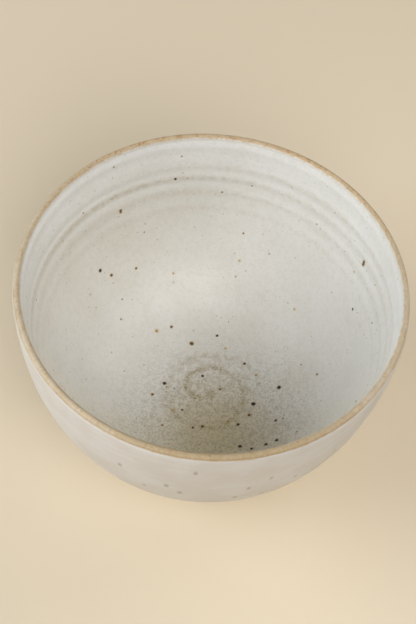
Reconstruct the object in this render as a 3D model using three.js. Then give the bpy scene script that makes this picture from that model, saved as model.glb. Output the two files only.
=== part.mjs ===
// A wheel-thrown stoneware bowl, in millimetres, standing on its foot ring with its axis on +Z.
// It is made of three pieces: the fired clay body, the glaze that lines it and the glaze on its outside.
// The throwing rings and the spiral in the floor are pressed into the clay, and the glaze follows them.

import * as THREE from "three";
import { mergeGeometries, mergeVertices } from "three/addons/utils/BufferGeometryUtils.js";

// Overall sizes
const RIM_DIAMETER = 160; // over the outer glaze, just under the lip
const BOWL_HEIGHT = 97; // from the foot to the top of the lip

// Thickness of the clay
const LIP_THICKNESS = 2.9;
const TURN_THICKNESS = 6.5; // where the wall turns into the floor
const FLOOR_THICKNESS = 5.5; // over the recess in the foot
const LIP_CROWN = 1.3; // how far the rounded lip stands above the two glaze edges

// Outside curve of the wall, as slopes at its two ends and the length over which each slope is held
const RIM_LEAN = 1.1; // degrees outwards from upright
const RIM_HOLD = 51;
const SPRING_SLOPE = 35.5; // degrees up from level, where the wall springs from the foot
const SPRING_HOLD = 22.1;

// Inside curve of the floor, which meets the wall at the turn
const TURN_RISE = 22; // up the outside of the wall from the foot
const TURN_HOLD = 18;
const FLOOR_HOLD = 26; // nearly level stretch from the middle of the floor

// Foot ring, trimmed out of the body
const FOOT_DIAMETER = 84;
const FOOT_WIDTH = 6.5;
const FOOT_HEIGHT = 6; // up to where the wall springs
const FOOT_RECESS = 3.8;
const FOOT_BEVEL = 0.8;

// Glaze coats, each thinning to nothing at its edges
const INNER_COAT = 0.6;
const OUTER_COAT = 0.4;
const COAT_ROLL = 1.4; // length of the rounded edge of a coat
const BARE_ABOVE_FOOT = 3.5; // clay wiped clean between the foot and the glaze line

// Throwing rings: one helix up the inside of the wall, sinking as it runs from the front to the right
const RING_COUNT = 4;
const RING_PITCH = 8.3;
const RING_DEPTH = 0.3; // each way from the mean wall
const RINGS_BELOW_LIP = 11.7;
const RINGS_FADE_IN = 3; // length of wall over which they start
const RINGS_FADE_OUT = 14; // and over which they die away towards the floor

// Spiral in the floor, winding outwards the other way round
const SPIRAL_PITCH = 9.5;
const SPIRAL_DEPTH = 0.3;
const SPIRAL_RADIUS = 28;
const SPIRAL_EYE = 5; // radius of its flat eye
const SPIRAL_OFFSET = 4.4; // its eye is off the bowl's axis, to the right
const SPIRAL_START = 330; // degrees

// Steps of the mesh
const SEGMENTS = 48;
const ROWS_PER_RING = 4;
const ROWS_ABOVE_RINGS = 3;
const ROWS_BELOW_RINGS = 4;
const SPIRAL_ROWS = 11;
const ROWS_PAST_SPIRAL = 3;
const OUTSIDE_ROWS = 7;
const LIP_ROWS = 5;
const ARC_STEPS = 600;

// Finishes
const CLAY_TAN = 0xb3976d;
const CLAY_ROUGHNESS = 0.85;
const GLAZE_WHITE = 0xd8d4c9;
const GLAZE_ROUGHNESS = 0.45;

const FULL_TURN = 2 * Math.PI;
const radians = THREE.MathUtils.degToRad;
const smoothstep = THREE.MathUtils.smoothstep;

// Profiles lie in the half plane of radius and height.
const at = (radius, height) => new THREE.Vector2(radius, height);
const heading = (degrees) => at(Math.cos(radians(degrees)), Math.sin(radians(degrees)));
const leftOf = (along) => at(-along.y, along.x);

// Evenly spaced values after one end, up to and with the other
function steps(from, to, count) {
  return Array.from({ length: count }, (_, k) => THREE.MathUtils.lerp(from, to, (k + 1) / count));
}

// Outside of the clay wall, from the foot up to the lip
const footRadius = FOOT_DIAMETER / 2;
const spring = at(footRadius, FOOT_HEIGHT);
const outerEdge = at(RIM_DIAMETER / 2 - OUTER_COAT, BOWL_HEIGHT - LIP_CROWN);
const outside = new THREE.CubicBezierCurve(
  spring,
  spring.clone().addScaledVector(heading(SPRING_SLOPE), SPRING_HOLD),
  outerEdge.clone().addScaledVector(heading(90 - RIM_LEAN), -RIM_HOLD),
  outerEdge,
);
outside.arcLengthDivisions = ARC_STEPS;
const wallLength = outside.getLength();
const turnBelow = wallLength - TURN_RISE;
const ringsEnd = RINGS_BELOW_LIP + RING_COUNT * RING_PITCH;

// A row of the profile is a point, with the way off the clay there and, on the inside, its throwing mark.
function outsideRow(rise) {
  const up = rise / wallLength;
  return { point: outside.getPointAt(up), off: leftOf(outside.getTangentAt(up)).negate() };
}

// The mark of the throwing rings at a distance below the lip
function ringMark(below) {
  const along = below - RINGS_BELOW_LIP;
  const starting = smoothstep(along, 0, RINGS_FADE_IN);
  const dying = smoothstep(below, ringsEnd - RINGS_FADE_OUT, ringsEnd);
  const strength = RING_DEPTH * starting * (1 - dying);
  const phase = (FULL_TURN * along) / RING_PITCH;
  return (angle) => strength * Math.cos(phase - angle);
}

// The mark of the floor's spiral at a radius from the bowl's axis
function spiralMark(radius) {
  return (angle) => {
    const x = radius * Math.sin(angle) - SPIRAL_OFFSET;
    const y = -radius * Math.cos(angle);
    const reach = Math.hypot(x, y);
    const starting = smoothstep(reach, 0, SPIRAL_EYE);
    const dying = smoothstep(reach, SPIRAL_PITCH, SPIRAL_RADIUS);
    const strength = SPIRAL_DEPTH * starting * (1 - dying);
    const phase = (FULL_TURN * reach) / SPIRAL_PITCH + Math.atan2(x, -y) - radians(SPIRAL_START);
    return strength * Math.cos(phase);
  };
}

// Inside of the clay wall, thickening from the lip down to the turn
function insideRow(below) {
  const up = 1 - below / wallLength;
  const off = leftOf(outside.getTangentAt(up));
  const share = (below / turnBelow) ** 2;
  const thickness = THREE.MathUtils.lerp(LIP_THICKNESS, TURN_THICKNESS, share);
  const point = outside.getPointAt(up).addScaledVector(off, thickness);
  return { point, off, mark: ringMark(below) };
}

// Inside of the floor, from its middle out to the turn
const middle = at(0, FOOT_RECESS + FLOOR_THICKNESS);
const turn = insideRow(turnBelow).point;
const turnUp = insideRow(turnBelow - COAT_ROLL).point.sub(turn).normalize();
const floor = new THREE.CubicBezierCurve(
  middle,
  middle.clone().add(at(FLOOR_HOLD, 0)),
  turn.clone().addScaledVector(turnUp, -TURN_HOLD),
  turn,
);
floor.arcLengthDivisions = ARC_STEPS;
const floorLength = floor.getLength();

function floorRow(reach) {
  if (reach === 0) return { point: middle, off: at(0, 1), mark: spiralMark(0) };
  const out = reach / floorLength;
  const point = floor.getPointAt(out);
  return { point, off: leftOf(floor.getTangentAt(out)), mark: spiralMark(point.x) };
}

// The rows of the body in order: foot, outside, lip, inside wall and floor
const spiralEnd = SPIRAL_RADIUS + SPIRAL_OFFSET;
const fullCoatFrom = BARE_ABOVE_FOOT + COAT_ROLL;
const fullCoatTo = wallLength - COAT_ROLL;
const outsideRows = [
  BARE_ABOVE_FOOT,
  fullCoatFrom,
  ...steps(fullCoatFrom, fullCoatTo, OUTSIDE_ROWS),
  wallLength,
].map(outsideRow);
const insideRows = [
  ...[0, COAT_ROLL].map(insideRow),
  ...steps(COAT_ROLL, RINGS_BELOW_LIP, ROWS_ABOVE_RINGS).map(insideRow),
  ...steps(RINGS_BELOW_LIP, ringsEnd, RING_COUNT * ROWS_PER_RING).map(insideRow),
  ...steps(ringsEnd, turnBelow, ROWS_BELOW_RINGS).map(insideRow),
  ...steps(floorLength, spiralEnd, ROWS_PAST_SPIRAL).map(floorRow),
  ...steps(spiralEnd, 0, SPIRAL_ROWS).map(floorRow),
];
const innerEdge = insideRows[0].point;

function footRows() {
  const inner = footRadius - FOOT_WIDTH;
  return [
    at(0, FOOT_RECESS),
    at(inner - FOOT_BEVEL, FOOT_RECESS),
    at(inner, FOOT_RECESS - FOOT_BEVEL),
    at(inner, FOOT_BEVEL),
    at(inner + FOOT_BEVEL, 0),
    at(footRadius - FOOT_BEVEL, 0),
    at(footRadius, FOOT_BEVEL),
    spring,
  ].map((point) => ({ point }));
}

function lipRows() {
  const crownHandle = at(0, (4 / 3) * LIP_CROWN); // a cubic rises to three quarters of its handles
  const lip = new THREE.CubicBezierCurve(
    outerEdge,
    outerEdge.clone().add(crownHandle),
    innerEdge.clone().add(crownHandle),
    innerEdge,
  );
  return lip
    .getPoints(LIP_ROWS)
    .slice(1, -1)
    .map((point) => ({ point }));
}

// Rows of clay lifted by a coat of glaze, which thins to nothing where the coat ends
function glazed(rows, coat, ends) {
  return rows.map((row) => {
    if (ends.includes(row)) return row;
    return { ...row, point: row.point.clone().addScaledVector(row.off, coat) };
  });
}

// A sheet of rows turned round the axis. Its faces look to the right of the way that the rows run.
function turned(rows) {
  const sheet = new THREE.LatheGeometry(
    rows.map((row) => row.point),
    SEGMENTS,
  );
  sheet.deleteAttribute("normal");
  sheet.deleteAttribute("uv");
  const position = sheet.getAttribute("position");
  for (let i = 0; i < position.count; i++) {
    const { point, off, mark } = rows[i % rows.length];
    if (!mark) continue;
    const angle = (FULL_TURN * (Math.floor(i / rows.length) % SEGMENTS)) / SEGMENTS;
    const { x: radius, y: height } = point.clone().addScaledVector(off, mark(angle));
    position.setXYZ(i, radius * Math.sin(angle), height, radius * Math.cos(angle));
  }
  return sheet.rotateX(Math.PI / 2);
}

function facingBack(sheet) {
  sheet.index.array.reverse();
  return sheet;
}

function piece(name, sheets, color, roughness) {
  const geometry = mergeVertices(mergeGeometries(sheets));
  geometry.computeVertexNormals();
  const material = new THREE.MeshStandardMaterial({ color, roughness, metalness: 0 });
  const mesh = new THREE.Mesh(geometry, material);
  mesh.name = name;
  return mesh;
}

function clayBody() {
  const rows = [...footRows(), ...outsideRows, ...lipRows(), ...insideRows];
  return piece("clay_body", [turned(rows)], CLAY_TAN, CLAY_ROUGHNESS);
}

function innerGlaze() {
  const face = glazed(insideRows, INNER_COAT, [insideRows[0]]);
  const back = facingBack(turned(insideRows));
  return piece("inner_glaze", [turned(face), back], GLAZE_WHITE, GLAZE_ROUGHNESS);
}

function outerGlaze() {
  const face = glazed(outsideRows, OUTER_COAT, [outsideRows[0], outsideRows.at(-1)]);
  const back = facingBack(turned(outsideRows));
  return piece("outer_glaze", [turned(face), back], GLAZE_WHITE, GLAZE_ROUGHNESS);
}

const bowl = new THREE.Group();
bowl.add(clayBody(), innerGlaze(), outerGlaze());

export default bowl;
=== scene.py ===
# A deep thrown stoneware bowl: its clay, its two coats of glaze, and the marks that throwing left in them
import bisect
import math

import bmesh
import bpy
from mathutils import Matrix, Vector, noise
from mathutils.geometry import interpolate_bezier
from mathutils.kdtree import KDTree


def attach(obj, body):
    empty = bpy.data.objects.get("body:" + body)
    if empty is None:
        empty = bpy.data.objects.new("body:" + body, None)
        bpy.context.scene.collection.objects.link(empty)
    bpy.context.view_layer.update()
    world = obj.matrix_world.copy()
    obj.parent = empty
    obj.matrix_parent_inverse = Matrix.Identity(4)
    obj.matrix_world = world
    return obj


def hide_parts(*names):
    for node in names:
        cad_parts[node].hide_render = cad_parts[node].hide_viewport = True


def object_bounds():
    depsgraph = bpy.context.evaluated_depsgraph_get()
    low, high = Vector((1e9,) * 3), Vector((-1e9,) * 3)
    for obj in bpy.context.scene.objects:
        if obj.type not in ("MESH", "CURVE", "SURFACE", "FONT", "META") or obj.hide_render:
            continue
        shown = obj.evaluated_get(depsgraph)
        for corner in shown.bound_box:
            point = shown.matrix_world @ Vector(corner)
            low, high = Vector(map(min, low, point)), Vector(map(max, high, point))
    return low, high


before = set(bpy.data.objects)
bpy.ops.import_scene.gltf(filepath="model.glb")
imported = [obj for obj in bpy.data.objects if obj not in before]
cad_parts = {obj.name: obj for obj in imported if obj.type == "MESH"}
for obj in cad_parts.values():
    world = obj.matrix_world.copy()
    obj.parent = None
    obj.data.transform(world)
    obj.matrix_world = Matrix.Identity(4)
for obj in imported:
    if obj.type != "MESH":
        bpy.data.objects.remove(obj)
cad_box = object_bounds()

MM = 0.001  # sizes are in millimetres, and the frame is in metres

# The clay, with the sizes that the solids have
LIP_THICKNESS = 2.9
TURN_THICKNESS = 6.5
FLOOR_THICKNESS = 5.5
LIP_CROWN = 1.3
RIM_LEAN = 1.1
RIM_HOLD = 51
SPRING_SLOPE = 35.5
SPRING_HOLD = 22.1
TURN_RISE = 22
TURN_HOLD = 18
FLOOR_HOLD = 26
FOOT_DIAMETER = 84
FOOT_WIDTH = 6.5
FOOT_HEIGHT = 6
FOOT_RECESS = 3.8
FOOT_BEVEL = 0.8
INNER_COAT = 0.6
OUTER_COAT = 0.4
COAT_ROLL = 1.4
LINING_ROLL = 4.5  # longer than in the solids, as the lining thins out slowly towards the lip
BARE_ABOVE_FOOT = 3.5

# The throwing rings up the inside, one ridge that sinks once round the bowl in each turn
RING_COUNT = 4
RING_PITCH = 8.3
RING_DEPTH = 0.12  # shallower than in the solids, as the glaze levels them out
RINGS_BELOW_LIP = 11.7
RINGS_FADE_IN = 3
RINGS_FADE_OUT = 14

# Where the hand let the ridge sag or ride up: below the lip, round from the front, and how far
RING_SAGS = [(14, 100, 1.2), (24, 215, -1.6), (32, 200, -1.2)]
SAG_HEIGHT = 5
SAG_SPREAD = 60

# How each turn of the ridge shows through: below the lip, its plainest side, all round, and more there
RING_TINTS = [
    (15.5, 125, 0.1, 0.44),
    (24, 230, 0.2, 0.58),
    (24, 105, 0, 0.24),
    (32, 200, 0.19, 0.1),
    (32, 110, 0, 0.16),
    (40.5, 200, 0.16, 0.08),
]
TINT_HEIGHT = 4.4
TINT_SPREAD = 58
RIDGE_POWER = 2
HOLLOW = 0.3  # taken off a ridge's tint, so that the glaze pooled between two ridges comes out below 0

# The spiral that the fingertips left in the floor: a quick hook from its eye, then a slow turn outwards
EYE_OFFSET = 4.4
SPIRAL_START = 230
SPIRAL_END = 840
HOOK_REACH = 13.7
HOOK_TURN = 27
TURN_FROM = 380
TURN_TO = 620
TURN_REACH = 6.2
LAST_FROM = 720
LAST_TO = 800
LAST_REACH = 3.6
SPIRAL_WIDTH = 1.0
SPIRAL_RELIEF = 1.5  # how much wider it is in the surface than in the colour of the glaze
HOOK_SPREAD = 0.35  # how much wider its hook is than the turn after it
HOOK_SPREAD_FROM = 300
HOOK_SPREAD_TO = 380
SPIRAL_SPREAD = 0.7  # how much wider and softer its last turn is
SPREAD_FROM = 540
SPREAD_TO = 640
LINE_START = 14  # degrees over which the line starts
LINE_BREAK = 424
BREAK_SPREAD = 20
BREAK_SHARE = 0.6
LINE_FADES = [(400, 460, 0.35), (540, 600, 0.2)]  # from, to, and how much of the line goes
LINE_ENDING = 720
SPIRAL_DEPTH = 0.28
EYE_WIDTH = 2.3
SPIRAL_WASH = 0.2  # how far the clay shows all over the spiral, out to its last turn
WASH_FROM = 12
WASH_TO = 25

# The hand's unevenness
RIM_DIP = 0.11
RIM_PULL = 0.12
HAND_FROM = 0.35  # the share of the height above which the rim starts to dip and pull in
WANDER_SCALE = 1.3
DIP_SEED = 37
PULL_SEED = 31
TURNING_LINE_PITCH = 2.6
TURNING_LINE_DEPTH = 0.035
TURNING_LINE_DRIFT = 0.2  # how fast a turning line changes round the bowl
TURNING_LINES_FULL = 20
TURNING_LINES_FADE = 12
TURNING_SEED = 9

# Fineness of the pieces
SEGMENTS = 192
CURVE_STEPS = 600
INSIDE_STEP = 0.75
OUTSIDE_STEP = 0.8
LIP_ROWS = 14
CORNER_ROWS = 5
CORNER_HOLD = 0.55  # how far the handles of a rounded corner reach to its point
FOOT_EDGE_ROWS = 3
LIP_EDGE_ROWS = 4
LINING_EDGE_ROWS = 9
SETTLE = 0.03  # kept inside the box of the solids
MERGE = 0.0005


def smooth(value, low, high):
    """Rises from 0 at low to 1 at high without a corner."""
    share = min(1, max(0, (value - low) / (high - low)))
    return share * share * (3 - 2 * share)


def bump(value, middle, width):
    """A soft hill of height 1."""
    return math.exp(-(((value - middle) / width) ** 2))


def heading(degrees):
    return Vector((math.cos(math.radians(degrees)), math.sin(math.radians(degrees))))


def outwards(angle):
    """The level way out from the axis, at an angle round from the front."""
    return Vector((math.sin(angle), -math.cos(angle), 0))


def left_of(along):
    return Vector((-along.y, along.x))


def steps(start, end, spacing):
    """Values after the start, up to and with the end, about evenly spaced."""
    count = max(1, round(abs(end - start) / spacing))
    return [start + (end - start) * (k + 1) / count for k in range(count)]


class Curve:
    """A cubic curve of the profile, read by the length along it."""

    def __init__(self, start, start_handle, end_handle, end):
        self.points = interpolate_bezier(start, start_handle, end_handle, end, CURVE_STEPS)
        self.reached = [0]
        for before, after in zip(self.points, self.points[1:]):
            self.reached.append(self.reached[-1] + (after - before).length)
        self.length = self.reached[-1]

    def at(self, length):
        """The point at a length along the curve, and the way the curve runs there."""
        k = min(max(bisect.bisect_right(self.reached, length) - 1, 0), len(self.points) - 2)
        share = (length - self.reached[k]) / (self.reached[k + 1] - self.reached[k])
        point = self.points[k].lerp(self.points[k + 1], share)
        low = max(k - 1, 0)
        high = min(k + 2, len(self.points) - 1)
        before = self.points[k + 1] - self.points[low]
        after = self.points[high] - self.points[k]
        return point, before.normalized().lerp(after.normalized(), share).normalized()


class Row:
    """One ring of the profile: its point, the way off the clay there, and where it lies on the bowl."""

    def __init__(self, point, off=None, wall=None, floor=None, lip=None, rise=None):
        self.point = point
        self.off = off
        self.wall = wall
        self.floor = floor
        self.lip = lip
        self.rise = rise

    def lifted(self, coat):
        return Row(self.point + self.off * coat, self.off, self.wall, self.floor, self.lip, self.rise)


# The outside of the clay wall, from the foot up to the lip
rim_radius = cad_box[1].x / MM - SETTLE
bowl_height = cad_box[1].z / MM - SETTLE
foot_radius = FOOT_DIAMETER / 2
spring = Vector((foot_radius, FOOT_HEIGHT))
outer_edge = Vector((rim_radius - OUTER_COAT, bowl_height - LIP_CROWN))
outside = Curve(
    spring,
    spring + heading(SPRING_SLOPE) * SPRING_HOLD,
    outer_edge - heading(90 - RIM_LEAN) * RIM_HOLD,
    outer_edge,
)
turn_below = outside.length - TURN_RISE
rings_end = RINGS_BELOW_LIP + RING_COUNT * RING_PITCH


def outside_row(rise):
    point, along = outside.at(rise)
    return Row(point, -left_of(along), rise=rise)


def inside_row(below):
    point, along = outside.at(outside.length - below)
    share = (below / turn_below) ** 2
    thickness = LIP_THICKNESS + (TURN_THICKNESS - LIP_THICKNESS) * share
    return Row(point + left_of(along) * thickness, left_of(along), wall=below)


# The inside of the floor, from its middle out to where the wall turns up
middle = Vector((0, FOOT_RECESS + FLOOR_THICKNESS))
turn = inside_row(turn_below).point
turn_up = (inside_row(turn_below - COAT_ROLL).point - turn).normalized()
floor_curve = Curve(middle, middle + Vector((FLOOR_HOLD, 0)), turn - turn_up * TURN_HOLD, turn)


def floor_row(reach):
    point, along = floor_curve.at(reach)
    if reach == 0:
        return Row(middle, Vector((0, 1)), floor=0)
    return Row(point, left_of(along), floor=reach)


def corner(point, before, after, size, rows):
    """A rounded corner of the profile."""
    start = point + (before - point).normalized() * size
    end = point + (after - point).normalized() * size
    start_handle = start.lerp(point, CORNER_HOLD)
    end_handle = end.lerp(point, CORNER_HOLD)
    return interpolate_bezier(start, start_handle, end_handle, end, rows)


def foot_rows():
    """The trimmed foot, from the middle of its recess out to the spring of the wall."""
    inner = foot_radius - FOOT_WIDTH
    outline = [
        Vector((0, FOOT_RECESS)),
        Vector((inner, FOOT_RECESS)),
        Vector((inner, 0)),
        Vector((foot_radius, 0)),
        spring,
    ]
    points = [outline[0]]
    for before, point, after in zip(outline, outline[1:], outline[2:]):
        points += corner(point, before, after, FOOT_BEVEL, CORNER_ROWS)
    return [Row(point) for point in points + [spring]]


full_coat_from = BARE_ABOVE_FOOT + COAT_ROLL
full_coat_to = outside.length - COAT_ROLL
outside_rises = [BARE_ABOVE_FOOT]
outside_rises += steps(BARE_ABOVE_FOOT, full_coat_from, COAT_ROLL / FOOT_EDGE_ROWS)
outside_rises += steps(full_coat_from, full_coat_to, OUTSIDE_STEP)
outside_rises += steps(full_coat_to, outside.length, COAT_ROLL / LIP_EDGE_ROWS)
outside_rows = [outside_row(rise) for rise in outside_rises]
inside_depths = [0]
inside_depths += steps(0, LINING_ROLL, LINING_ROLL / LINING_EDGE_ROWS)
inside_depths += steps(LINING_ROLL, turn_below, INSIDE_STEP)
inside_rows = [inside_row(below) for below in inside_depths]
inside_rows += [floor_row(reach) for reach in steps(floor_curve.length, 0, INSIDE_STEP)]
inner_edge = inside_rows[0].point


def lip_rows():
    crown = Vector((0, LIP_CROWN * 4 / 3))  # a cubic rises to three quarters of its handles
    points = interpolate_bezier(outer_edge, outer_edge + crown, inner_edge + crown, inner_edge, LIP_ROWS)
    across = len(points) - 1
    return [Row(point, lip=k / across) for k, point in enumerate(points)][1:-1]


def wander(angle, level, seed):
    """A slow unevenness round the bowl, from -1 to 1."""
    spot = Vector((math.sin(angle), -math.cos(angle), level + seed))
    return noise.noise(spot * WANDER_SCALE)


def turn_between(first, second):
    """How far apart two bearings are, in degrees."""
    return abs((first - second + 180) % 360 - 180)


def ring_phase(below, angle):
    sag = 0
    for height, side, far in RING_SAGS:
        beside = turn_between(math.degrees(angle), side)
        sag += far * bump(below, height, SAG_HEIGHT) * bump(beside, 0, SAG_SPREAD)
    return 2 * math.pi * (below - sag - RINGS_BELOW_LIP) / RING_PITCH - angle


def ring_strength(below):
    starting = smooth(below, RINGS_BELOW_LIP - RINGS_FADE_IN, RINGS_BELOW_LIP + RINGS_FADE_IN)
    return starting * (1 - smooth(below, rings_end - RINGS_FADE_OUT, rings_end))


def spiral_reach(turned):
    """How far the spiral is from its eye once it has turned so far, in degrees clockwise from the back."""
    hook = HOOK_REACH * (1 - math.exp(-(turned - SPIRAL_START) / HOOK_TURN))
    slow = TURN_REACH * smooth(turned, TURN_FROM, TURN_TO)
    return hook + slow + LAST_REACH * smooth(turned, LAST_FROM, LAST_TO)


def spiral_fading(turned):
    """How strong the spiral's line is once it has turned so far: it breaks off and fades outwards."""
    begun = smooth(turned, SPIRAL_START, SPIRAL_START + LINE_START)
    broken = 1 - BREAK_SHARE * bump(turned, LINE_BREAK, BREAK_SPREAD)
    later = 1 - sum(share * smooth(turned, start, end) for start, end, share in LINE_FADES)
    return begun * broken * later * (1 - smooth(turned, LINE_ENDING, SPIRAL_END))


spiral_trail = KDTree(SPIRAL_END - SPIRAL_START)
for k in range(SPIRAL_END - SPIRAL_START):
    bearing = math.radians(SPIRAL_START + k)
    far = spiral_reach(SPIRAL_START + k)
    spiral_trail.insert((EYE_OFFSET + far * math.sin(bearing), far * math.cos(bearing), 0), k)
spiral_trail.balance()


def from_eye(point):
    """How far a point of the floor is from the spiral's eye."""
    return math.hypot(point.x / MM - EYE_OFFSET, point.y / MM)


def spiral_line(point, width):
    """How close a point of the floor is to the spiral's line or its eye, from 0 to 1."""
    flat = Vector((point.x / MM, point.y / MM, 0))
    _, nearest, away = spiral_trail.find(flat)
    turned = SPIRAL_START + nearest
    wider = HOOK_SPREAD * (1 - smooth(turned, HOOK_SPREAD_FROM, HOOK_SPREAD_TO))
    wider += SPIRAL_SPREAD * smooth(turned, SPREAD_FROM, SPREAD_TO)
    line = spiral_fading(turned) * bump(away, 0, width * (1 + wider))
    return max(line, bump(from_eye(point), 0, EYE_WIDTH))


def pressed(row, point, angle):
    """How far the throwing marks lift the surface at a point of a row."""
    if row.wall is not None:
        return RING_DEPTH * ring_strength(row.wall) * math.cos(ring_phase(row.wall, angle))
    if row.floor is not None:
        return SPIRAL_DEPTH * spiral_line(point, SPIRAL_WIDTH * SPIRAL_RELIEF)
    if row.rise is not None:
        starting = smooth(row.rise, full_coat_from, TURNING_LINES_FULL)
        ending = smooth(row.rise, full_coat_to - TURNING_LINES_FADE, full_coat_to)
        line = wander(angle * TURNING_LINE_DRIFT, row.rise / TURNING_LINE_PITCH, TURNING_SEED)
        return TURNING_LINE_DEPTH * starting * (1 - ending) * line
    return 0


def thinness(row, point, angle):
    """How far the clay shows through the glaze over the marks of throwing, up to 1, and below 0 how thick
    the glaze lies between them."""
    if row.floor is not None:
        wash = SPIRAL_WASH * (1 - smooth(from_eye(point), WASH_FROM, WASH_TO))
        return wash + (1 - SPIRAL_WASH) * spiral_line(point, SPIRAL_WIDTH)
    if row.wall is None:
        return 0
    shown = 0
    for height, side, always, more in RING_TINTS:
        beside = turn_between(math.degrees(angle), side)
        shown += bump(row.wall, height, TINT_HEIGHT) * (always + more * bump(beside, 0, TINT_SPREAD))
    ridge = (0.5 + 0.5 * math.cos(ring_phase(row.wall, angle))) ** RIDGE_POWER
    return (ridge - HOLLOW) * shown


def lip_distance(row):
    """How far a point of a coat is from the lip, along the wall and on over the floor."""
    if row.wall is not None:
        return row.wall
    if row.floor is not None:
        return turn_below + floor_curve.length - row.floor
    if row.rise is not None:
        return outside.length - row.rise
    return outside.length


def lip_share(row):
    """How far across the lip a point lies, from 0 on the outside of the bowl to 1 on the inside."""
    if row.lip is not None:
        return row.lip
    return 0 if row.wall is None and row.floor is None else 1


def handmade(point):
    """Moves a point by the unevenness of the whole bowl, which only ever goes inwards and down."""
    high = smooth(point.z / MM, bowl_height * HAND_FROM, bowl_height)
    angle = math.atan2(point.x, -point.y)
    inward = RIM_PULL * (1 + wander(angle, 0, PULL_SEED)) * high / rim_radius
    down = RIM_DIP * (1 + wander(angle, 0, DIP_SEED)) * high
    return Vector((point.x * (1 - inward), point.y * (1 - inward), point.z - down * MM))


def in_scene(name, data):
    """A new object of the scene, made of a mesh, a lamp or a camera."""
    made = bpy.data.objects.new(name, data)
    bpy.context.scene.collection.objects.link(made)
    return made


def meshed(name, bm):
    """A mesh made of an edit mesh, which is then freed."""
    mesh = bpy.data.meshes.new(name)
    bm.to_mesh(mesh)
    bm.free()
    return mesh


def thrown(name, rows, closed=False):
    """A profile of rows spun round the bowl's axis, with the marks of throwing pressed into it."""
    bm = bmesh.new()
    row_of = bm.verts.layers.int.new("row")
    thin = bm.verts.layers.float.new("thin")
    depth = bm.verts.layers.float.new("depth")
    across = bm.verts.layers.float.new("across")
    line = []
    for k, row in enumerate(rows):
        vert = bm.verts.new((0, -row.point.x * MM, row.point.y * MM))
        vert[row_of] = k
        line.append(vert)
    for before, after in zip(line, line[1:]):
        bm.edges.new((before, after))
    if closed:
        bm.edges.new((line[-1], line[0]))
    bmesh.ops.spin(
        bm,
        geom=bm.verts[:] + bm.edges[:],
        cent=(0, 0, 0),
        axis=(0, 0, 1),
        angle=2 * math.pi,
        steps=SEGMENTS,
        use_merge=True,
    )
    bmesh.ops.remove_doubles(bm, verts=bm.verts[:], dist=MERGE * MM)
    bmesh.ops.recalc_face_normals(bm, faces=bm.faces[:])
    for vert in bm.verts:
        row = rows[vert[row_of]]
        angle = math.atan2(vert.co.x, -vert.co.y)
        if row.off is not None:
            out = outwards(angle) * row.off.x
            lift = pressed(row, vert.co, angle)
            vert[thin] = thinness(row, vert.co, angle)
            vert.co += (out + Vector((0, 0, row.off.y))) * (lift * MM)
        vert[depth] = lip_distance(row)
        vert[across] = lip_share(row)
        vert.co = handmade(vert.co)
    for face in bm.faces:
        face.smooth = True
    bm.verts.layers.int.remove(row_of)
    return in_scene(name, meshed(name, bm))


def coat(rows, thickness, edges, roll):
    """Rows lifted off the clay by a coat of glaze, which thins to nothing at its edges."""
    return [row.lifted(thickness * smooth(edges(row), 0, roll)) for row in rows]


def inner_edge_distance(row):
    """How far a row of the lining is from its edge, or far enough where it is not on the wall."""
    return row.wall if row.wall is not None else LINING_ROLL


def outer_edge_distance(row):
    """How far a row of the outside glaze is from the nearer of its two edges."""
    return max(0, min(row.rise - BARE_ABOVE_FOOT, outside.length - row.rise))


inner_face = coat(inside_rows, INNER_COAT, inner_edge_distance, LINING_ROLL)
outer_face = coat(outside_rows, OUTER_COAT, outer_edge_distance, COAT_ROLL)
clay = thrown("clay_bowl", foot_rows() + outside_rows + lip_rows() + inside_rows)
lining = thrown("lining_glaze_coat", inner_face[::-1] + inside_rows[1:])
jacket = thrown("outside_glaze_coat", outer_face + outside_rows[-2:0:-1], closed=True)


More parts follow.
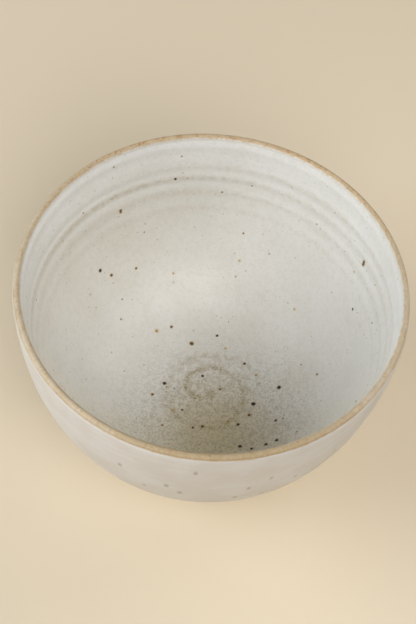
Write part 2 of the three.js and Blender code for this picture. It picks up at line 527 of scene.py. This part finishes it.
# Finishes
class Wire:
    """A shader socket. Arithmetic on it adds Math nodes, and node() adds any other node."""

    def __init__(self, tree, socket=None):
        self.tree = tree
        self.socket = socket

    def node(self, kind, settings=None, inputs=None, out=0):
        made = self.tree.nodes.new(kind)
        for name, value in (settings or {}).items():
            setattr(made, name, value)
        for name, value in (inputs or {}).items():
            if isinstance(value, Wire):
                self.tree.links.new(value.socket, made.inputs[name])
            else:
                made.inputs[name].default_value = value
        return Wire(self.tree, made.outputs[out])

    def also(self, out):
        """Another output of the node that this wire comes from."""
        return Wire(self.tree, self.socket.node.outputs[out])

    def math(self, operation, first, second=0.0):
        return self.node("ShaderNodeMath", {"operation": operation}, {0: first, 1: second})

    def __add__(self, other):
        return self.math("ADD", self, other)

    def __radd__(self, other):
        return self.math("ADD", other, self)

    def __sub__(self, other):
        return self.math("SUBTRACT", self, other)

    def __rsub__(self, other):
        return self.math("SUBTRACT", other, self)

    def __mul__(self, other):
        return self.math("MULTIPLY", self, other)

    def __rmul__(self, other):
        return self.math("MULTIPLY", other, self)

    def __truediv__(self, other):
        return self.math("DIVIDE", self, other)

    def most(self, other):
        return self.math("MAXIMUM", self, other)

    def least(self, other):
        return self.math("MINIMUM", self, other)

    def vector(self, operation, inputs, out=0):
        return self.node("ShaderNodeVectorMath", {"operation": operation}, inputs, out)

    def attribute(self, name):
        """A value that the mesh carries at its points."""
        return self.node("ShaderNodeAttribute", {"attribute_name": name}, out="Fac")

    def ramp(self, low, high):
        """0 below low and 1 above high, smooth between them."""
        inputs = {"Value": self, "From Min": low, "From Max": high}
        return self.node("ShaderNodeMapRange", {"interpolation_type": "SMOOTHSTEP"}, inputs)

    def band(self, rise, fall):
        """Rises over one span of values and falls again over a later one."""
        return self.ramp(*rise) * (1 - self.ramp(*fall))

    def blend(self, first, second):
        """This wire as the share of the second colour in the first."""
        return self.node("ShaderNodeMix", {"data_type": "RGBA"}, {0: self, 6: first, 7: second}, out=2)

    def noise(self, size, detail=2.0):
        """Cloudy noise on this wire's coordinates, its blotches about so many millimetres wide."""
        inputs = {"Vector": self, "Scale": 1 / (size * MM), "Detail": detail}
        return self.node("ShaderNodeTexNoise", {}, inputs)


def tone(red, green, blue):
    """A colour as a screen shows it, 0 to 255, made linear."""
    linear = []
    for value in (red, green, blue):
        share = value / 255
        linear.append(share / 12.92 if share <= 0.04045 else ((share + 0.055) / 1.055) ** 2.4)
    return (*linear, 1.0)


def finish(name):
    """A new material, its shader, and a wire that carries places on the object."""
    material = bpy.data.materials.new(name)
    material.use_nodes = True
    place = Wire(material.node_tree).node("ShaderNodeTexCoord", out="Object")
    return material, material.node_tree.nodes["Principled BSDF"], place


def feed(wire, shader, socket):
    wire.tree.links.new(wire.socket, shader.inputs[socket])


def emboss(relief, shader, strength, depth):
    """Feeds a relief, so many millimetres deep, to a shader as a bump."""
    inputs = {"Height": relief, "Strength": strength, "Distance": depth * MM}
    feed(relief.node("ShaderNodeBump", {}, inputs), shader, "Normal")


def tinted(colour, tint, where, share):
    """A colour with a share of another one laid over it, where a mask says."""
    return (where * share).blend(colour, tint)


def shaken(place, size, reach):
    """Coordinates moved about a little, so that what is drawn on them gets an uneven outline."""
    cloud = place.noise(size).also("Color")
    centred = place.vector("SUBTRACT", {0: cloud, 1: (0.5, 0.5, 0.5)})
    moved = place.vector("SCALE", {0: centred, "Scale": reach * MM})
    return place.vector("ADD", {0: place, 1: moved})


def strewn(place, cell, smallest, largest, share, soft):
    """Specks strewn through the glaze: one in some of the cells, each of its own size."""
    cells = place.node("ShaderNodeTexVoronoi", {}, {"Vector": place, "Scale": 1 / (cell * MM)})
    lot = place.node("ShaderNodeSeparateColor", {}, {"Color": cells.also("Color")})
    radius = smallest + lot * (largest - smallest)
    dot = ((radius - cells * cell) / soft).ramp(0, 1)
    chosen = place.math("LESS_THAN", lot.also("Blue"), share)
    return dot * chosen


def placed(place, spots, soft, wider=1.0):
    """The large specks that can be told apart, each by its place on the bowl and its width."""
    mask = None
    for spot, width in spots:
        away = place.vector("DISTANCE", {0: place, 1: tuple(spot)}, out="Value")
        inside = (width * wider / 2 * MM - away) / (soft * MM) + 0.5
        mask = inside if mask is None else mask.most(inside)
    return mask.ramp(0, 1)


def towards(place, bearing):
    """How far out to one side a place lies, 1 at the rim. The bearing is round from the front."""
    way = outwards(math.radians(bearing)) / (rim_radius * MM)
    return place.vector("DOT_PRODUCT", {0: place, 1: way}, out="Value")


def round_from_front(bearing, point):
    """A point of the profile, turned to a bearing and placed on the finished bowl."""
    spot = outwards(math.radians(bearing)) * point.x + Vector((0, 0, point.y))
    return handmade(spot * MM)


lining_reach = [0]
for before, after in zip(inner_face, inner_face[1:]):
    lining_reach.append(lining_reach[-1] + (after.point - before.point).length)


def on_wall(bearing, below):
    """The place on the lining so many degrees round from the front and so far along it from the lip."""
    k = bisect.bisect_left(lining_reach, below)
    share = (below - lining_reach[k - 1]) / (lining_reach[k] - lining_reach[k - 1])
    return round_from_front(bearing, inner_face[k - 1].point.lerp(inner_face[k].point, share))


def on_floor(right, back):
    """The place on the lining's floor so far to the right and back of the spiral's eye."""
    x = right + EYE_OFFSET
    reach = math.hypot(x, back)
    row = min(inner_face, key=lambda each: abs(each.point.x - reach))
    return Vector((x, back, row.point.y)) * MM


RUN_SHARE = 0.5  # a speck's width over its height, where the glaze ran down a little


def on_outside(bearing, rise):
    """The place on the outside glaze so many degrees round from the front and so far up from the foot,
    with heights flattened as they are for specks that ran down."""
    spot = round_from_front(bearing, outside_row(rise).lifted(OUTER_COAT).point)
    return Vector((spot.x, spot.y, spot.z * RUN_SHARE))


# Large iron specks, each by its place and its width
BLACK_SPECKS = [
    (on_floor(-21.2, 2.3), 1.5),
    (on_floor(30.7, 4.6), 1.6),
    (on_floor(19.8, -3.8), 1.7),
    (on_floor(26.6, -26.6), 1.5),
    (on_floor(31.0, -24.7), 1.5),
    (on_floor(15.4, -27.3), 1.5),
    (on_floor(20.5, -28.8), 1.3),
    (on_floor(13.7, -15.2), 1.2),
    (on_floor(30.2, -13.0), 1.1),
    (on_floor(14.2, 16.8), 1.1),
    (on_floor(-4.4, 8.7), 1.2),
    (on_floor(-2.0, -17.8), 1.1),
    (on_floor(-6.2, -19.0), 0.9),
    (on_floor(-11.8, -10.2), 0.9),
    (on_floor(0.3, 29.8), 1.1),
    (on_wall(233, 55.4), 1.5),
    (on_wall(197, 22.7), 1.2),
    (on_wall(113, 45.8), 1.0),
]
BROWN_SPECKS = [
    (on_floor(-11.0, 24.6), 2.0),
    (on_floor(18.4, -9.8), 1.6),
    (on_floor(-21.2, 30.9), 1.4),
    (on_floor(-26.0, -4.4), 1.4),
    (on_floor(4.3, 2.8), 1.1),
    (on_floor(-19.8, -19.8), 1.1),
    (on_floor(9.1, -14.0), 0.9),
    (on_wall(229, 61.1), 1.6),
    (on_wall(217, 64.4), 1.2),
    (on_wall(218, 32.0), 1.5),
    (on_wall(218, 33.0), 1.4),
    (on_wall(219, 5.0), 0.9),
    (on_wall(120, 23.2), 1.4),
    (on_wall(120, 24.3), 1.7),
    (on_wall(120, 25.4), 1.6),
    (on_wall(170, 50.6), 0.9),
    (on_wall(98, 76.9), 1.1),
]
AMBER_SPECKS = [
    (on_floor(-27.8, 27.6), 1.6),
    (on_floor(20.0, 11.2), 1.1),
    (on_floor(-16.0, -11.2), 1.0),
    (on_floor(4.8, 24.0), 1.0),
    (on_wall(200, 72.2), 1.0),
    (on_wall(135, 72.1), 1.0),
    (on_wall(122, 33.2), 1.0),
    (on_wall(169, 64.4), 0.9),
]
OUTSIDE_SPECKS = [
    (on_outside(-21, 77.7), 1.6),
    (on_outside(-14, 62.3), 1.5),
    (on_outside(-7, 71.1), 1.8),
    (on_outside(-3, 64.4), 1.9),
    (on_outside(1, 89.7), 1.5),
    (on_outside(23, 78.6), 1.4),
    (on_outside(32, 68.6), 1.4),
    (on_outside(17, 71.0), 1.6),
    (on_outside(14, 57.8), 1.9),
    (on_outside(23, 55.2), 1.7),
    (on_outside(45, 74.7), 1.3),
]

GLAZE_WHITE = tone(227, 226, 223)
GLAZE_ROLL = tone(240, 240, 239)
GLAZE_WARM = tone(218, 215, 209)
# A greyer tone painted on the rear-right wall as shade
REAR_RIGHT_PAINTED_SHADE = tone(207, 206, 203)
# A greyer, warmer tone painted on the back-left wall as shade
BACK_LEFT_PAINTED_SHADE = tone(197, 191, 178)
WARMER_AT_FRONT = tone(230, 222, 203)
# Darker olive glaze of the floor, which also stands in as painted shade from the near wall
FLOOR_GLAZE_AND_SHADE = tone(199, 187, 154)
GLAZE_GRAIN = tone(146, 134, 102)
GLAZE_THIN = tone(146, 122, 60)
GLAZE_OUTSIDE = tone(204, 202, 200)
GLAZE_OUTSIDE_WARM = tone(196, 189, 182)
CLAY_TAN = tone(187, 170, 143)
CLAY_PALE = tone(204, 191, 169)
CLAY_OLIVE = tone(166, 144, 106)
CLAY_OCHRE = tone(200, 163, 112)
CLAY_RUST = tone(144, 94, 46)
SPECK_OLIVE = tone(128, 110, 66)
SPECK_RUST = tone(116, 84, 24)
SPECK_BROWN = tone(88, 48, 0)
SPECK_AMBER = tone(168, 126, 0)
AMBER_HALO = tone(196, 170, 98)
SPECK_BLACK = tone(38, 18, 0)
PALE_FLOOR = tone(226, 211, 186)
PALE_AFAR = tone(214, 200, 175)
DIM_SURROUND = (0.056, 0.058, 0.06, 1.0)

# Layers of the large specks: which, how soft, how wide for their width, and the colour with its share
SPECK_LAYERS = [
    (AMBER_SPECKS, 0.8, 1.5, AMBER_HALO, 0.4),
    (AMBER_SPECKS, 0.5, 0.8, SPECK_AMBER, 0.9),
    (BLACK_SPECKS, 0.6, 1.25, SPECK_BROWN, 0.6),
    (BROWN_SPECKS, 0.8, 1.4, AMBER_HALO, 0.4),
    (BROWN_SPECKS, 0.5, 0.9, SPECK_BROWN, 0.95),
    (BLACK_SPECKS, 0.45, 1.0, SPECK_BLACK, 1.0),
]

# Sides of the bowl where its finish changes, and where shade is painted on, in degrees round from the front
FRONT = 0
LIP_NEAREST = 12
SEEN_SIDE = 12
WASHED_SIDE = 60
THIN_SIDE = 110
REAR_RIGHT_SHADE_SIDE = 125
BACK = 180
BACK_LEFT_SHADE_SIDE = 230
BACK_SPAN = (0.12, 0.88)

# Spans below the lip over which a tint of the lining, and the painted shade of the back-left wall, come and
# go
ROLL_TOP = (0.2, 1.6)
ROLL_FOOT = (2.4, 6.0)
POOL_TOP = (5.0, 10.0)
POOL_FOOT = (11.0, 15.0)
# Painted shade on the back-left wall, which ends just below the turn into the floor, where its end leaves a
# pale painted sheen
BACK_LEFT_SHADE_TOP = (14.0, 28.0)
BACK_LEFT_SHADE_FOOT = (70.0, 94.0)

# The floor's darker olive glaze, with painted shade where the near wall shades the floor: its middle, how
# far out from there it fades and wavers, and how far its grain goes
FLOOR_SHADE_AT = Vector((10, -24, 11)) * MM
SHADE_SPAN = (2, 41)
SHADE_WAVER = 16
GRAIN_SPAN = (18, 62)

# How far the brushed streaks of the outside are drawn out round the bowl
BRUSH_STRETCH = (0.06, 0.06, 1.0)


def washed(place):
    """How far the lining's glaze is washed up on to the lip, which is more on one side."""
    return 0.7 + towards(place, WASHED_SIDE).ramp(0.3, 0.95) * 0.3


def lining_finish():
    material, shader, place = finish("lining_glaze")
    thin = place.attribute("thin")
    depth = place.attribute("depth")
    grain = place.noise(size=0.95, detail=3.0)
    mottle = place.noise(size=2.4, detail=2.0)
    patch = place.noise(size=22, detail=3.0)
    off_middle = place.vector("DISTANCE", {0: place, 1: FLOOR_SHADE_AT}, out="Value") / MM

    # Its sides: painted shade on the back-left and rear-right walls, warmer towards the front; and the
    # floor's olive glaze with painted shade in it
    # Painted shade down the back-left wall, ending below the turn, where it leaves a pale painted sheen
    back_left_painted_shade = towards(place, BACK_LEFT_SHADE_SIDE).ramp(0.3, 0.95) * depth.band(BACK_LEFT_SHADE_TOP, BACK_LEFT_SHADE_FOOT)
    # Painted shade on the rear-right wall, which the window lamp lights most
    rear_right_painted_shade = towards(place, REAR_RIGHT_SHADE_SIDE).ramp(0.3, 0.9)
    # Warmer towards the front
    warmer_at_front = towards(place, FRONT).ramp(0.05, 0.55)
    # Darker olive glaze in the floor, partly painted shade where the near wall shades it
    low = 1 - (off_middle + (patch - 0.5) * SHADE_WAVER).ramp(*SHADE_SPAN)
    colour = tinted(GLAZE_WHITE, GLAZE_WARM, patch.ramp(0.35, 0.7), share=0.6)
    colour = tinted(colour, BACK_LEFT_PAINTED_SHADE, back_left_painted_shade, share=0.52)
    colour = tinted(colour, REAR_RIGHT_PAINTED_SHADE, rear_right_painted_shade, share=0.32)
    colour = tinted(colour, WARMER_AT_FRONT, warmer_at_front, share=0.8)
    colour = tinted(colour, FLOOR_GLAZE_AND_SHADE, low, share=0.86)

    # Where it lies thick: in the roll under the lip, below that, and between the rings
    thick = 1 - towards(place, THIN_SIDE).ramp(-0.1, 0.7)
    roll = depth.band(ROLL_TOP, ROLL_FOOT)
    pooled = (0 - thin).ramp(0.0, 0.26) + depth.band(POOL_TOP, POOL_FOOT) * 0.8
    colour = tinted(colour, GLAZE_ROLL, roll * thick, share=0.6)
    colour = tinted(colour, GLAZE_ROLL, pooled.least(1.0), share=0.2 + thick * 0.42)

    # Its grain, and the clay that shows through on the ridges, the spiral and the edge
    grainy = 1 - off_middle.ramp(*GRAIN_SPAN)
    grains = grain.ramp(0.43, 0.64)
    showing = thin.most(0.0) * (0.5 + grains * 0.4 + mottle.ramp(0.4, 0.62) * 0.5)
    edge = (1 - (depth + (grain - 0.5) * 1.4).ramp(0.0, 0.9)) * (1 - washed(place))
    colour = tinted(colour, GLAZE_GRAIN, grains, share=0.06 + grainy * 0.34)
    colour = tinted(colour, GLAZE_GRAIN, mottle.ramp(0.44, 0.68), share=0.06 + grainy * 0.18)
    colour = tinted(colour, GLAZE_THIN, showing, share=0.4 + grainy * 0.3)
    colour = tinted(colour, CLAY_TAN, edge, share=0.8)

    # Iron specks
    rough_place = shaken(place, size=1.2, reach=0.5)
    fine = strewn(rough_place, cell=1.15, smallest=0.08, largest=0.46, share=0.7, soft=0.2)
    middling = strewn(rough_place, cell=3.0, smallest=0.12, largest=0.65, share=0.5, soft=0.25)
    small = strewn(rough_place, cell=6.5, smallest=0.25, largest=0.75, share=0.55, soft=0.25)
    colour = tinted(colour, SPECK_OLIVE, fine, share=0.08 + grainy * 0.46)
    colour = tinted(colour, SPECK_OLIVE, middling, share=0.4 + grainy * 0.3)
    colour = tinted(colour, SPECK_RUST, small, share=0.75)
    for spots, soft, wider, tint, share in SPECK_LAYERS:
        colour = tinted(colour, tint, placed(rough_place, spots, soft, wider), share)
    feed(colour, shader, "Base Color")
    feed(0.42 + patch * 0.1 + edge * 0.2, shader, "Roughness")
    emboss(grain * 0.6 + place.noise(size=3.5) * 0.8, shader, strength=0.25, depth=0.06)
    return material


def outside_finish():
    material, shader, place = finish("outside_glaze")
    depth = place.attribute("depth")
    grain = place.noise(size=0.6, detail=3.0)
    wave = place.noise(size=3.6, detail=2.0)
    patch = place.noise(size=15, detail=3.0)
    level = place.node("ShaderNodeMapping", {}, {"Vector": place, "Scale": BRUSH_STRETCH})
    brushed = level.noise(size=2.2, detail=3.0)
    colour = tinted(GLAZE_OUTSIDE, GLAZE_OUTSIDE_WARM, patch.ramp(0.38, 0.66), share=0.6)
    colour = tinted(colour, GLAZE_OUTSIDE_WARM, brushed.ramp(0.42, 0.66), share=0.42)
    colour = tinted(colour, GLAZE_GRAIN, grain.ramp(0.45, 0.75), share=0.08)

    # Its uneven edge under the lip, rusty at the back
    back = towards(place, BACK).ramp(*BACK_SPAN)
    edge = 1 - (depth - back * 0.6 + (grain - 0.5) * 0.8 + (wave - 0.5) * 1.8).ramp(-0.1, 0.5)
    colour = tinted(colour, CLAY_TAN, edge, share=0.95)
    colour = tinted(colour, CLAY_RUST, edge * back, share=0.7)

    # Specks under the glaze, and smudges that ran down in it
    rough_place = shaken(place, size=1.4, reach=0.7)
    run_down = place.node("ShaderNodeMapping", {}, {"Vector": rough_place, "Scale": (1.0, 1.0, RUN_SHARE)})
    fine = strewn(rough_place, cell=1.3, smallest=0.05, largest=0.34, share=0.4, soft=0.25)
    under = strewn(rough_place, cell=9.0, smallest=0.25, largest=0.9, share=0.4, soft=0.6)
    unseen = 1 - towards(place, SEEN_SIDE).ramp(0.3, 0.62)
    elsewhere = strewn(run_down, cell=8.5, smallest=0.45, largest=1.0, share=0.5, soft=0.7) * unseen
    smudges = placed(run_down, OUTSIDE_SPECKS, soft=1.3).most(elsewhere)
    colour = tinted(colour, SPECK_OLIVE, fine, share=0.12)
    colour = tinted(colour, SPECK_OLIVE, under, share=0.3)
    colour = tinted(colour, SPECK_OLIVE, smudges, share=0.58)
    feed(colour, shader, "Base Color")
    feed(0.44 + patch * 0.1 + edge * 0.2, shader, "Roughness")
    emboss(grain * 0.5 + brushed * 0.6, shader, strength=0.2, depth=0.06)
    return material


def clay_finish():
    material, shader, place = finish("bare_stoneware")
    across = place.attribute("across")
    grain = place.noise(size=0.5, detail=4.0)
    blotch = place.noise(size=1.2, detail=2.0)
    mottle = place.noise(size=2.6, detail=3.0)
    patch = place.noise(size=6, detail=3.0)
    on_lip = across.ramp(0.0, 0.02)
    back = towards(place, BACK).ramp(*BACK_SPAN)
    uneven = across + (patch - 0.5) * 0.4 + (grain - 0.5) * 0.2

    # Pale over the crown of the lip, ochre and rust at its back, olive inside it and nearest the front
    crown = uneven.band((0.12, 0.3), (0.4, 0.58)) * on_lip
    ochre = mottle.ramp(0.5, 0.62) * 0.26 + back * on_lip * 0.4
    inner = uneven.ramp(0.44, 0.7) * on_lip * (1 - back * 0.7)
    nearest = towards(place, LIP_NEAREST).ramp(0.7, 0.98) * on_lip
    outer = on_lip * (1 - across.ramp(0.1, 0.3))
    colour = tinted(CLAY_TAN, CLAY_PALE, patch.ramp(0.4, 0.6), share=0.8)
    colour = tinted(colour, CLAY_PALE, crown, share=0.5)
    colour = ochre.blend(colour, CLAY_OCHRE)
    colour = tinted(colour, CLAY_OLIVE, inner, share=0.28)
    colour = tinted(colour, CLAY_OLIVE, nearest, share=0.75)
    colour = tinted(colour, CLAY_RUST, outer, share=0.12 + back * 0.68)
    colour = tinted(colour, CLAY_RUST, blotch.ramp(0.54, 0.68) * on_lip, share=0.22 + back * 0.4)
    colour = tinted(colour, CLAY_PALE, (1 - blotch.ramp(0.34, 0.48)) * on_lip, share=0.22)

    # A film of the lining's glaze on the inside of the lip
    worn = (blotch - 0.5) * back * 0.5 + (grain - 0.5) * 0.3 + (mottle - 0.5) * 0.3
    film = (across + worn + washed(place) * 0.3).ramp(0.92, 1.2) * on_lip
    colour = tinted(colour, GLAZE_WHITE, film, share=0.85)

    # Sand and iron in the clay
    rough_place = shaken(place, size=1.2, reach=0.5)
    sand = strewn(place, cell=0.9, smallest=0.05, largest=0.3, share=0.6, soft=0.2)
    iron = strewn(rough_place, cell=6.0, smallest=0.15, largest=0.7, share=0.5, soft=0.4)
    colour = tinted(colour, CLAY_RUST, sand, share=0.22)
    colour = tinted(colour, CLAY_OLIVE, grain.ramp(0.35, 0.7), share=0.25)
    colour = tinted(colour, CLAY_RUST, iron, share=0.6)
    feed(colour, shader, "Base Color")
    feed(0.68 + grain * 0.2, shader, "Roughness")
    emboss(grain, shader, strength=0.4, depth=0.1)
    return material


for piece, node, slot, material in (
    (clay, "clay_body", "bare_stoneware", clay_finish()),
    (lining, "inner_glaze", "lining_glaze", lining_finish()),
    (jacket, "outer_glaze", "outside_glaze", outside_finish()),
):
    piece.data.materials.append(material)
    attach(piece, "root")
    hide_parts(node)

# Plain pale floor, which keeps its paleness far off, where the lamps do not reach
FLOOR_SPAN = 6.0
FLOOR_ROUGHNESS = 0.9
FAR_OFF = (0.4, 1.1)  # metres from the bowl


def seen_directly(start):
    """1 for what the camera sees, also in a gloss or through glass, and 0 for light that falls on things."""
    path = start.node("ShaderNodeLightPath", out="Is Camera Ray")
    return path.most(path.also("Is Glossy Ray")).most(path.also("Is Transmission Ray"))


bm = bmesh.new()
bmesh.ops.create_grid(bm, x_segments=1, y_segments=1, size=FLOOR_SPAN / 2)
ground_mesh = meshed("ground", bm)
ground = in_scene("ground", ground_mesh)
ground_finish, ground_shader, place = finish("ground_pale")
ground_shader.inputs["Base Color"].default_value = PALE_FLOOR
ground_shader.inputs["Roughness"].default_value = FLOOR_ROUGHNESS
far_off = place.vector("LENGTH", {0: place}, out="Value").ramp(*FAR_OFF)
glow = place.node("ShaderNodeEmission", {}, {"Color": PALE_AFAR})
lit = Wire(place.tree, ground_shader.outputs["BSDF"])
shown = place.node("ShaderNodeMixShader", {}, {0: far_off * seen_directly(place), 1: lit, 2: glow})
feed(shown, place.tree.nodes["Material Output"], "Surface")
ground_mesh.materials.append(ground_finish)

# Soft studio light
AIM = Vector((0, 0, 0.05))
LAMP_DISTANCE = 1.6
LAMP_WIDTH = 1.1
SKYLINE = (0.3, 0.6)  # how high the surround turns from pale to dim


def soft_lamp(name, bearing, elevation, watts, colour):
    """A square soft lamp. Its bearing is round from the front, to the right."""
    data = bpy.data.lights.new(name, "AREA")
    data.shape = "SQUARE"
    data.size = LAMP_WIDTH
    data.energy = watts
    data.color = colour
    up = math.radians(elevation)
    away = outwards(math.radians(bearing)) * math.cos(up) + Vector((0, 0, math.sin(up)))
    lamp = in_scene(name, data)
    lamp.location = AIM + away * LAMP_DISTANCE
    lamp.rotation_mode = "QUATERNION"
    lamp.rotation_quaternion = (-away).to_track_quat("-Z", "Y")


soft_lamp("window", bearing=-80, elevation=22, watts=21.5, colour=(0.94, 0.98, 1.0))
soft_lamp("front_lamp", bearing=20, elevation=48, watts=19.5, colour=(1.0, 0.985, 0.955))
soft_lamp("back_fill", bearing=130, elevation=38, watts=7.5, colour=(1.0, 0.95, 0.88))
world = bpy.data.worlds.new("studio")
world.use_nodes = True
start = Wire(world.node_tree)
way = start.node("ShaderNodeTexCoord", out="Generated")
low_down = 1 - way.node("ShaderNodeSeparateXYZ", {}, {"Vector": way}, out="Z").ramp(*SKYLINE)
surround = (low_down * seen_directly(start)).blend(DIM_SURROUND, PALE_AFAR)
feed(surround, world.node_tree.nodes["Background"], "Color")
bpy.context.scene.world = world

# Camera, at the photograph's angle
IMAGE_HEIGHT = 624
FOCAL_PIXELS = 1330
SENSOR = 36
ELEVATION = math.radians(55.95)
ROLL = math.radians(6.289)
CAMERA_PLACE = Vector((-0.682, -307.901, 531.070)) * MM
forward = Vector((0, math.cos(ELEVATION), -math.sin(ELEVATION)))
level_right = Vector((1, 0, 0))
level_up = Vector((0, math.sin(ELEVATION), math.cos(ELEVATION)))
right = level_right * math.cos(ROLL) + level_up * math.sin(ROLL)
upward = level_up * math.cos(ROLL) - level_right * math.sin(ROLL)
camera_data = bpy.data.cameras.new("camera")
camera_data.sensor_width = SENSOR
camera_data.lens = SENSOR * FOCAL_PIXELS / IMAGE_HEIGHT
camera = in_scene("camera", camera_data)
turned = Matrix((right, upward, -forward)).transposed().to_4x4()
camera.matrix_world = Matrix.Translation(CAMERA_PLACE) @ turned
bpy.context.scene.camera = camera
bpy.context.scene.view_settings.view_transform = "Standard"
